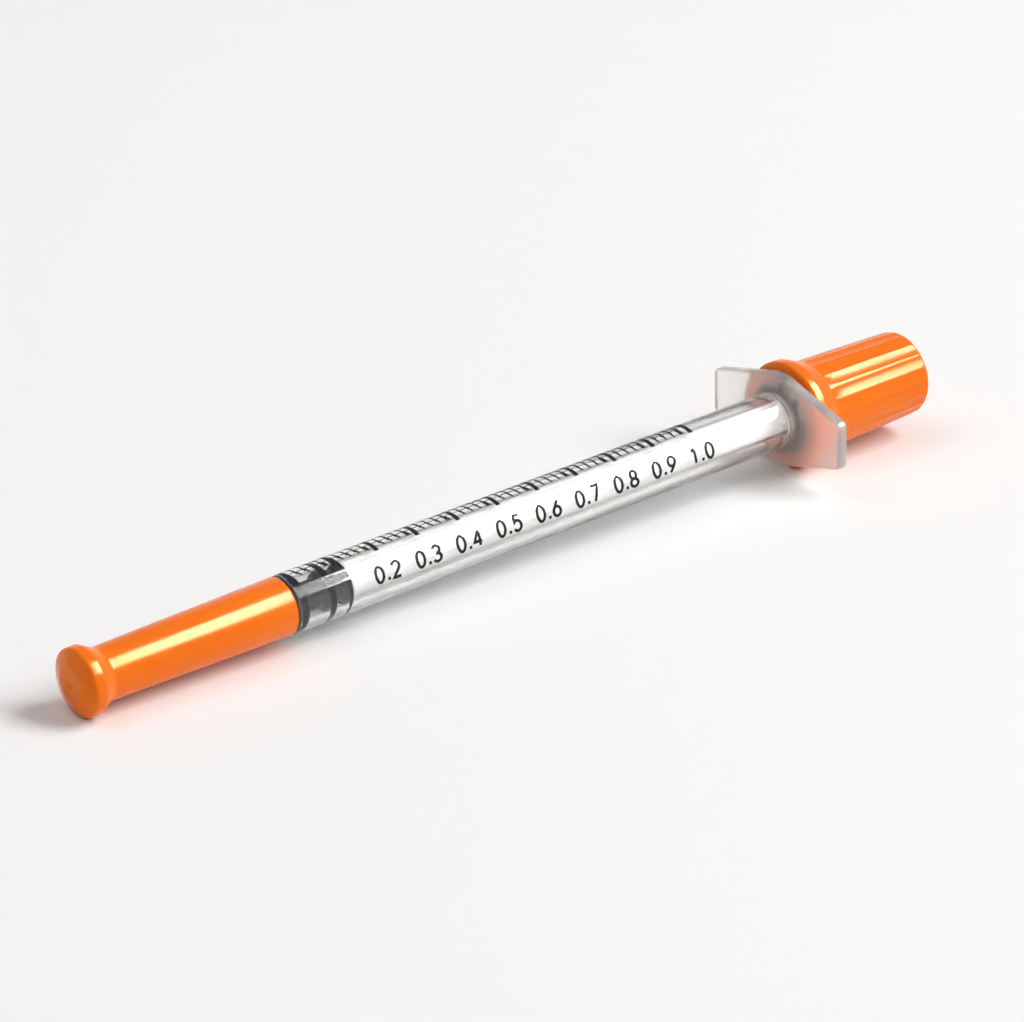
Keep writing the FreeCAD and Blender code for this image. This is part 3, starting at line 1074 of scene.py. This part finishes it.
@dataclass
class PlungerCap(Assembly):
    """Orange fluted sleeve over the thumb end with a flared lip and a dimpled end."""

    mouth: float = 74.8
    end: float = 93.8
    floor: float = 92.6
    lip: float = 6.5927
    lip_width: float = 1.3
    flare: float = 2.4
    mouth_radius: float = 5.64
    end_radius: float = 5.15
    end_round: float = 0.8
    rim_round: float = 0.4
    dimple: float = 2.0
    dimple_depth: float = 0.6
    grip: float = 4.59
    grip_end: float = 79.4
    floor_radius: float = 4.3
    flutes: int = 20
    flute_radius: float = 2.2
    flute_depth: float = 0.12
    flute_run_in: float = 0.3
    flute_fade: float = 0.9
    run_on: float = 0.2
    end_rows: float = 1.3
    row_count: int = 10
    centre_ring: float = 0.2
    columns: int = 400

    @property
    def sleeve_start(self) -> float:
        """Where the lip's flare runs into the straight sleeve."""
        return self.mouth + self.lip_width + self.flare

    def slope(self, stations: np.ndarray) -> np.ndarray:
        """Radius of the plain sleeve: a straight taper from its start to the end.

        The taper runs on a little in front of the sleeve, by a share of its length.

        Args:
            stations: places along the cap (n,).

        Returns:
            Radii (n,).
        """
        share = (stations - self.sleeve_start) / (self.end - self.sleeve_start)
        taper = self.end_radius - self.mouth_radius
        return self.mouth_radius + taper * np.clip(share, -self.run_on, 1.0)

    def outside(self) -> np.ndarray:
        """Outer half section from the mouth's bevel over the lip and sleeve to the dimple.

        Returns:
            Points (n, 2) as station and radius.
        """
        rows = np.linspace(self.sleeve_start + self.end_rows, self.end - self.end_rows, self.row_count)
        sleeve = [(x, radius, 0.0) for x, radius in zip(rows, self.slope(rows))]
        return eased_path([
            (self.mouth, self.grip, 0.15), (self.mouth, self.lip, self.rim_round),
            (self.mouth + self.lip_width, self.lip, self.rim_round),
            (self.sleeve_start, self.mouth_radius, self.flare), *sleeve,
            (self.end, self.end_radius, self.end_round),
            (self.end, self.dimple, 0.15), (self.end - self.dimple_depth, self.dimple, 0.2),
            (self.end - self.dimple_depth, self.centre_ring, 0.0)], step=0.1)

    def fluted(self, half: np.ndarray, angles: np.ndarray) -> np.ndarray:
        """Radii of the outside with its flutes.

        A flute is a straight cylinder lying along the sleeve's slope, so the surface is the
        smaller of the plain radius and the slope's radius less the depth of the cylinder's
        section: depth - (f - sqrt(f^2 - s^2)) at the distance s across from a flute's middle.

        Args:
            half: the outer half section (n, 2).
            angles: column angles (m,).

        Returns:
            Radii (n, m).
        """
        slope = self.slope(half[:, 0])
        pitch = FULL_TURN / self.flutes
        off = (angles + pitch / 2) % pitch - pitch / 2
        across = np.minimum(np.abs(slope[:, None] * off[None, :]), self.flute_radius)
        section = self.flute_depth - (self.flute_radius - np.sqrt(self.flute_radius ** 2 - across ** 2))
        run_in = self.sleeve_start - self.flute_run_in
        fade = np.clip((half[:, 0] - run_in) / self.flute_fade, 0.0, 1.0)[:, None]
        cut = slope[:, None] - np.maximum(section, 0.0) * fade
        plain = np.broadcast_to(half[:, 1:2], cut.shape)
        return np.where((half[:, 0] > run_in)[:, None], np.minimum(plain, cut), plain)

    def build(self) -> None:
        """Make the cap as one closed surface, inside first so that it faces outwards."""
        angles = np.arange(self.columns) * FULL_TURN / self.columns
        inner = eased_path([(self.floor, self.centre_ring, 0.0), (self.floor, self.floor_radius, 0.3),
                            (self.grip_end, self.grip, 0.0), (self.mouth + 0.2, self.grip, 0.0)], step=0.1)
        outer = self.outside()
        rings = np.concatenate([wheel(angles, inner[:, 0], inner[:, 1]),
                                wheel(angles, outer[:, 0], self.fluted(outer, angles))])
        skin = Skin(self.placement, rings, Ends.CLOSED)
        self.settle(skin.build("plunger_cap_shell"), Body.PLUNGER_CAP, Slot.ORANGE, "plunger_cap")


# Printed scale


def bow(centre: tuple[float, float], reach: tuple[float, float], start: float, stop: float,
        count: int = 14) -> np.ndarray:
    """Piece of an ellipse: centre plus (a cos t, b sin t) for angles t.

    Args:
        centre: the ellipse's centre.
        reach: its half axes a and b.
        start: first angle in degrees.
        stop: last angle in degrees.
        count: how many points.

    Returns:
        Points (count, 2).
    """
    turn = np.radians(np.linspace(start, stop, count))
    return np.stack([centre[0] + reach[0] * np.cos(turn), centre[1] + reach[1] * np.sin(turn)], axis=1)


def line(*points: tuple[float, float]) -> np.ndarray:
    """Straight runs through points."""
    return np.array(points, float)


def glyph_strokes() -> dict[str, list[np.ndarray]]:
    """Strokes of each digit and the point in a cell 0.6 wide and 1 high, with the base line at 0.

    Returns:
        Paths (n, 2) of each mark's strokes.
    """
    return {
        "0": [bow((0.3, 0.5), (0.26, 0.46), 0, 360, 33)],
        "1": [line((0.12, 0.76), (0.34, 0.96), (0.34, 0.04))],
        "2": [np.concatenate([bow((0.3, 0.70), (0.25, 0.26), 165, -38), line((0.05, 0.04), (0.56, 0.04))])],
        "3": [np.concatenate([bow((0.28, 0.73), (0.23, 0.23), 155, -80),
                              bow((0.28, 0.28), (0.27, 0.24), 80, -155)])],
        "4": [line((0.44, 0.04), (0.44, 0.96), (0.04, 0.30), (0.58, 0.30))],
        "5": [np.concatenate([line((0.53, 0.96), (0.13, 0.96), (0.09, 0.54)),
                              bow((0.28, 0.34), (0.27, 0.30), 128, -150)])],
        "6": [np.concatenate([line((0.47, 0.96), (0.20, 0.62)),
                              bow((0.3, 0.32), (0.25, 0.28), 160, 520, 33)])],
        "7": [line((0.06, 0.96), (0.55, 0.96), (0.22, 0.04))],
        "8": [bow((0.3, 0.73), (0.21, 0.23), -90, 270, 33), bow((0.3, 0.27), (0.26, 0.23), 90, 450, 33)],
        "9": [np.concatenate([line((0.13, 0.04), (0.40, 0.38)),
                              bow((0.3, 0.68), (0.25, 0.28), -20, 340, 33)])],
        ".": [line((0.10, 0.02), (0.10, 0.20))],
    }


class Reading(Enum):
    """Which way printed figures are read."""

    ACROSS = "figures stand towards the needle and are read round the barrel"
    ALONG = "figures stand across the barrel and are read along it"


@dataclass
class PrintedScale(Assembly):
    """Unit scale with its figures and a row of millilitre figures, printed on the barrel."""

    radius: float = 3.4427
    zero: float = 0.85
    length: float = 58.0
    units: int = 100
    unit_step: int = 2
    figure_step: int = 10
    base_turn: float = 52.0
    long_tick: float = 3.6
    short_tick: float = 2.7
    bold: float = 0.58
    fine: float = 0.27
    figure_height: float = 2.9
    figure_gap: float = 0.9
    second_turn: float = 158.5
    second_height: float = 2.0
    second_first: int = 20
    stroke: float = 0.36
    lift: float = 0.014
    sink: float = 0.004
    ribbons: list[tuple[np.ndarray, np.ndarray]] = field(default_factory=list)

    def ribbon(self, path: np.ndarray, width: float) -> None:
        """Widen a stroke on the unrolled barrel and keep its two edges.

        Each point moves half a width to both sides along the mean normal of the runs beside it.
        A run longer than LONGEST_RUN is divided, so that it can follow the curve of the barrel.

        Args:
            path: points (n, 2) as x along the barrel and distance round it.
            width: the stroke's width.
        """
        length = np.linalg.norm(np.diff(path, axis=0), axis=1)
        parts = np.maximum(1, np.ceil(length / LONGEST_RUN)).astype(int)
        knots = np.concatenate([[0.0], np.cumsum(parts)])
        even = np.arange(knots[-1] + 1)
        path = np.stack([np.interp(even, knots, path[:, k]) for k in range(2)], axis=1)
        runs = np.diff(path, axis=0)
        runs /= np.linalg.norm(runs, axis=1, keepdims=True)
        normal = np.stack([-runs[:, 1], runs[:, 0]], axis=1)
        first, last = normal[:1], normal[-1:]
        mean = np.concatenate([first, normal[1:] + normal[:-1], last])
        mean /= np.maximum(np.linalg.norm(mean, axis=1, keepdims=True), 1e-6)
        matching = np.concatenate([first, normal])
        stretch = 1.0 / np.maximum(np.sum(mean * matching, axis=1, keepdims=True), SHARPEST_MITRE)
        side = mean * stretch * width / 2
        self.ribbons.append((path + side, path - side))

    def figures(self, text: str, x: float, round_mm: float, height: float, reading: Reading) -> None:
        """Write figures centred at a place on the unrolled barrel.

        Args:
            text: digits and points.
            x: place along the barrel.
            round_mm: distance round the barrel.
            height: height of a digit.
            reading: which way they are read.
        """
        glyphs = glyph_strokes()
        advance = [POINT_PITCH if mark == "." else DIGIT_PITCH for mark in text]
        total = sum(advance) - DIGIT_GAP
        pen = -total / 2
        for mark, step in zip(text, advance):
            for stroke in glyphs[mark]:
                flat = (stroke + np.array([pen, -0.5])) * height
                if reading is Reading.ACROSS:
                    spot = np.stack([x - flat[:, 1], round_mm - flat[:, 0]], axis=1)
                else:
                    spot = np.stack([x + flat[:, 0], round_mm - flat[:, 1]], axis=1)
                self.ribbon(spot, self.stroke)
            pen += step

    def lay_out(self) -> None:
        """Base line, ticks, unit figures and millilitre figures."""
        base = math.radians(self.base_turn) * self.radius
        second = math.radians(self.second_turn) * self.radius
        self.ribbon(line((self.zero, base), (self.zero + self.length, base)), self.fine)
        for unit in range(0, self.units + 1, self.unit_step):
            x = self.zero + self.length * unit / self.units
            strong = unit % self.figure_step == 0
            reach = self.long_tick if strong else self.short_tick
            self.ribbon(line((x, base), (x, base + reach)), self.bold if strong else self.fine)
            if strong and unit:
                text = str(unit)
                half_width = (DIGIT_PITCH * len(text) - DIGIT_GAP) * self.figure_height / 2
                middle = base - self.figure_gap - half_width
                self.figures(text, x, middle, self.figure_height, Reading.ACROSS)
                if unit >= self.second_first:
                    volume = f"{unit / self.units:.1f}"
                    self.figures(volume, x, second, self.second_height, Reading.ALONG)

    def wrap(self) -> tuple[np.ndarray, np.ndarray]:
        """Wrap every ribbon round the barrel as a thin closed strip.

        A point (x, s) of the unrolled barrel goes to angle s / radius at the radius plus the
        lift outside and minus the sink inside.

        Returns:
            Points (n, 3) and quads (q, 4).
        """
        points, quads, count = [], [], 0
        for left, right in self.ribbons:
            steps = len(left)
            loop = np.stack([left, right, right, left], axis=1)
            radii = self.radius + np.array([self.lift, self.lift, -self.sink, -self.sink])
            turn = loop[..., 1] / self.radius
            shell = np.stack([loop[..., 0], radii * np.cos(turn), radii * np.sin(turn)], axis=2)
            number = count + np.arange(steps * 4).reshape(steps, 4)
            around = np.roll(number, -1, axis=1)
            sides = np.stack([number[:-1], number[1:], around[1:], around[:-1]], axis=-1).reshape(-1, 4)
            caps = np.stack([number[0], number[-1][::-1]])
            points.append(shell.reshape(-1, 3))
            quads.append(np.concatenate([sides, caps]))
            count += steps * 4
        return np.concatenate(points), np.concatenate(quads)

    def build(self) -> None:
        """Make the whole print as one piece that rides with the barrel."""
        self.lay_out()
        points, quads = self.wrap()
        thing = mesh_object("scale_print", self.placement.metres(points), quads, np.zeros((0, 3), int))
        self.settle(thing, Body.BARREL, Slot.INK)


# Studio


class Effect(Enum):
    """What a lamp adds to the picture."""

    ALL = "light, shadow and highlight"
    SHINE = "highlights alone"


@dataclass(frozen=True)
class SoftLight:
    """Rectangular light: where it stands, its edges along the syringe and across it, and its watts."""

    name: str
    azimuth: float
    elevation: float
    distance: float
    size: tuple[float, float]
    power: float
    effect: Effect = Effect.ALL


@dataclass
class Studio:
    """Pale floor, soft lights and the camera at the photograph's angle.

    A long light stands on one side with a smaller one in front of it that only adds highlights, and a
    weak light fills in from the other side. Angles are in degrees, distances and sizes in metres, and
    the camera's lens and sensor in millimetres.
    """

    lights: tuple[SoftLight, ...] = (
        SoftLight("key", 50.0, 44.0, 1.6, (0.61, 1.16), 24.0),
        SoftLight("shine", 50.0, 44.0, 1.55, (0.59, 0.89), 80.0, Effect.SHINE),
        SoftLight("fill", -130.0, 64.0, 1.2, (0.60, 0.60), 2.6),
    )
    azimuth: float = -39.4
    elevation: float = 25.0
    distance: float = 0.55
    lens: float = 170.0
    sensor: float = 36.0
    nearest: float = 0.05
    farthest: float = 20.0
    target: tuple[float, float, float] = (0.0, 0.0, 0.0065)
    scattered: float = 0.27
    seen: float = 0.93
    ceiling: float = 0.32
    ceiling_start: float = 0.22
    ceiling_stop: float = 0.55
    floor_half: float = 3.0

    def direction(self, azimuth: float, elevation: float) -> Vector:
        """Unit vector from the object towards a place at an azimuth and elevation in degrees."""
        a, e = math.radians(azimuth), math.radians(elevation)
        return Vector((math.sin(a) * math.cos(e), -math.cos(a) * math.cos(e), math.sin(e)))

    def floor(self) -> None:
        """Level board under the syringe, whose edges are far outside the view."""
        half = self.floor_half
        points = np.array([(-half, -half, 0), (half, -half, 0), (half, half, 0), (-half, half, 0)])
        board = mesh_object("floor_board", points, np.array([[0, 1, 2, 3]]), np.zeros((0, 3), int))
        board.data.materials.append(StudioFloor().material())

    def hang(self, lamp: SoftLight) -> None:
        """Place a light and aim it at the syringe, with its first edge along it.

        Args:
            lamp: the light's place, size, power and effect.
        """
        light = bpy.data.lights.new(lamp.name, "AREA")
        light.shape, light.energy = "RECTANGLE", lamp.power
        light.size, light.size_y = lamp.size
        back = self.direction(lamp.azimuth, lamp.elevation)
        along = Vector((1.0, 0.0, 0.0))
        along = (along - back * along.dot(back)).normalized()
        thing = bpy.data.objects.new(lamp.name, light)
        thing.location = back * lamp.distance
        thing.rotation_mode = "QUATERNION"
        thing.rotation_quaternion = Matrix((along, back.cross(along), back)).transposed().to_quaternion()
        thing.visible_diffuse = thing.visible_transmission = lamp.effect is Effect.ALL
        bpy.context.scene.collection.objects.link(thing)

    def world(self) -> None:
        """Even pale surroundings whose strength depends on the ray.

        The camera's own rays meet the strength seen. Mirrored and refracted images meet a darker
        ceiling: the strength falls from seen to ceiling as the ray's upward component passes from
        ceiling_start to ceiling_stop. Light on matt surfaces has the strength scattered, or seen
        where it comes through plastic.
        """
        world = bpy.data.worlds.new("studio")
        bpy.context.scene.world = world
        world.use_nodes = True
        tree = world.node_tree
        sky = tree.nodes["Background"]
        sky.inputs["Color"].default_value = (1.0, 1.0, 0.997, 1.0)
        rays, place = tree.nodes.new("ShaderNodeLightPath"), tree.nodes.new("ShaderNodeTexCoord")
        parts = tree.nodes.new("ShaderNodeSeparateXYZ")
        tree.links.new(place.outputs["Generated"], parts.inputs["Vector"])
        image = tree.nodes.new("ShaderNodeMapRange")
        for name, value in (("From Min", self.ceiling_start), ("From Max", self.ceiling_stop),
                            ("To Min", self.seen), ("To Max", self.ceiling)):
            image.inputs[name].default_value = value
        tree.links.new(parts.outputs["Z"], image.inputs["Value"])
        soft, scattered, strength = (tree.nodes.new("ShaderNodeMix") for _ in range(3))
        soft.inputs["A"].default_value = self.scattered
        soft.inputs["B"].default_value = self.seen
        strength.inputs["B"].default_value = self.seen
        for source, target in (
                (rays.outputs["Is Transmission Ray"], soft.inputs["Factor"]),
                (image.outputs["Result"], scattered.inputs["A"]),
                (soft.outputs["Result"], scattered.inputs["B"]),
                (rays.outputs["Diffuse Depth"], scattered.inputs["Factor"]),
                (scattered.outputs["Result"], strength.inputs["A"]),
                (rays.outputs["Is Camera Ray"], strength.inputs["Factor"]),
                (strength.outputs["Result"], sky.inputs["Strength"])):
            tree.links.new(source, target)

    def camera(self) -> None:
        """Long lens that looks down on the syringe from the needle cap's side."""
        data = bpy.data.cameras.new("camera")
        data.lens, data.sensor_width = self.lens, self.sensor
        data.clip_start, data.clip_end = self.nearest, self.farthest
        thing = bpy.data.objects.new("camera", data)
        back = self.direction(self.azimuth, self.elevation)
        thing.location = Vector(self.target) + back * self.distance
        thing.rotation_mode = "QUATERNION"
        thing.rotation_quaternion = back.to_track_quat("Z", "Y")
        bpy.context.scene.collection.objects.link(thing)
        bpy.context.scene.camera = thing

    def build(self) -> None:
        """Set the stage."""
        scene = bpy.context.scene
        scene.view_settings.view_transform = "Standard"
        scene.cycles.max_bounces = 24
        scene.cycles.glossy_bounces = 12
        scene.cycles.transmission_bounces = 20
        self.floor()
        self.world()
        for lamp in self.lights:
            self.hang(lamp)
        self.camera()
        LOG.info("studio is set")


def main() -> None:
    """Build the sub-assemblies in order."""
    logging.basicConfig(level=logging.INFO, format="%(name)s %(message)s")
    axis = next(j["axis"] for j in frame["joints"] if j["name"] == "plunger_slide")
    placement = Placement.from_record(frame["record"], axis)
    palette = Palette(placement)
    for kind in (Barrel, Plunger, NeedleCap, PlungerCap, PrintedScale):
        kind(placement, palette).build()
    Studio().build()


if __name__ == "__main__":
    main()
